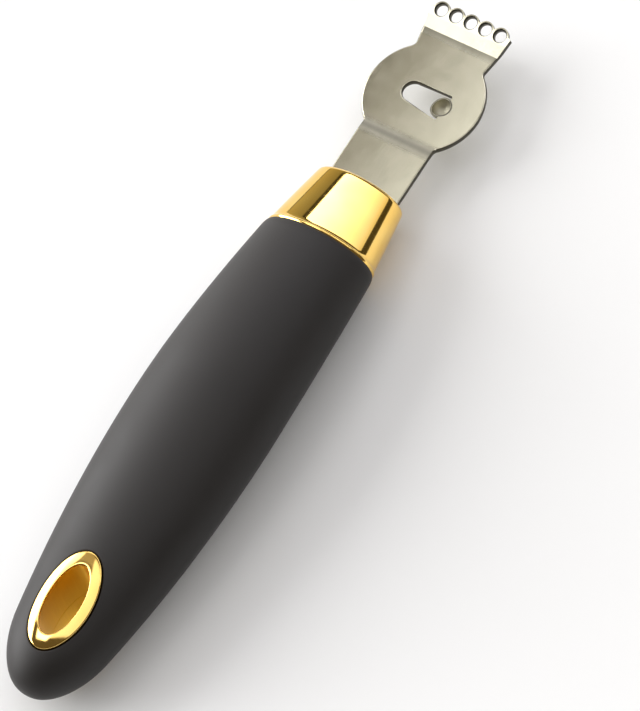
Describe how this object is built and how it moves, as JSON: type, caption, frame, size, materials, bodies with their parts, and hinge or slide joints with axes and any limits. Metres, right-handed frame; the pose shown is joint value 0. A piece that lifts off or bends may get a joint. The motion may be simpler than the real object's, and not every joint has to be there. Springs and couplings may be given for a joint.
{
  "type": "citrus zester",
  "caption": "Hand zester with a bent scalloped zesting head, a disc with a channel gouge, a mirror gold ferrule and an oval black handle with a hang hole.",
  "frame": {"origin": "middle of the tool's length and width, on the surface that the back of the handle lies on", "axes": "+X along the tool from the butt to the zesting head, +Z out of the front of the blade, up as it lies on its back"},
  "size_m": [0.1649, 0.0294, 0.022],
  "materials": {
    "handle": "soft-touch matte black",
    "ferrule": "mirror gold plating",
    "blade": "satin stainless steel",
    "eyelet": "mirror gold plating"
  },
  "bodies": {
    "root": {"handle": "handle", "ferrule": "ferrule", "blade": "blade", "eyelet_front": "eyelet", "eyelet_back": "eyelet"}
  },
  "joints": []
}
